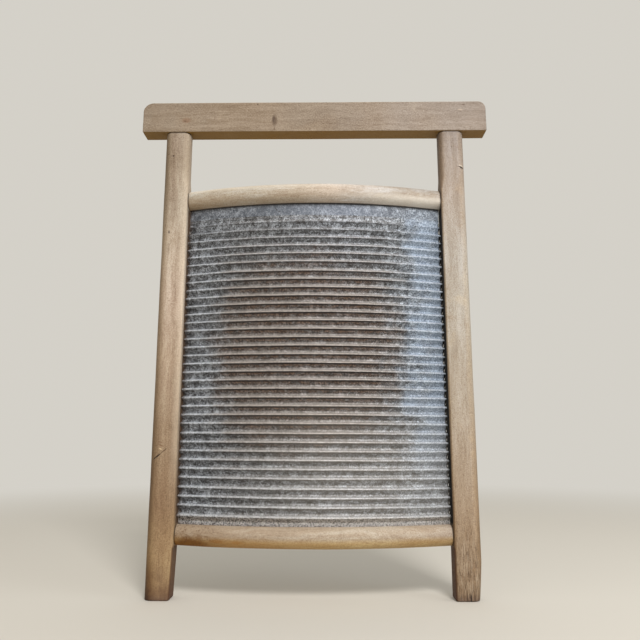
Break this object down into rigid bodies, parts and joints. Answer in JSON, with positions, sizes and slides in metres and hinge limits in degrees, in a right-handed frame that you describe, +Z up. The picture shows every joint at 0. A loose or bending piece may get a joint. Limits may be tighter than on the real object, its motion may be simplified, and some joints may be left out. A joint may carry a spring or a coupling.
{
  "type": "washboard",
  "caption": "T-headed wooden washboard: a head bar on two posts, two bowed round-nosed rails and a forward-bowed sheet of corrugated zinc-coated steel between them.",
  "frame": {"origin": "bottom centre of the board's box: between the two feet, on the surface they stand on", "axes": "+X to the right seen from the front, +Y backward from the ridged front, +Z up along the posts"},
  "size_m": [0.437, 0.0466, 0.6],
  "materials": {
    "bar_wood": "bare, weathered and greyed beech",
    "post_wood": "bare, worn and bleached beech",
    "rail_wood": "bare, scrubbed smooth beech",
    "zinc_sheet": "dull galvanised coating with worn crests and rust-brown stains",
    "nail_steel": "darkened, lightly rusted"
  },
  "bodies": {
    "root": {"top_bar": "bar_wood", "left_post": "post_wood", "right_post": "post_wood", "upper_rail": "rail_wood", "lower_rail": "rail_wood", "corrugated_sheet": "zinc_sheet", "rail_nails": "nail_steel", "bar_nails": "nail_steel"}
  },
  "joints": []
}
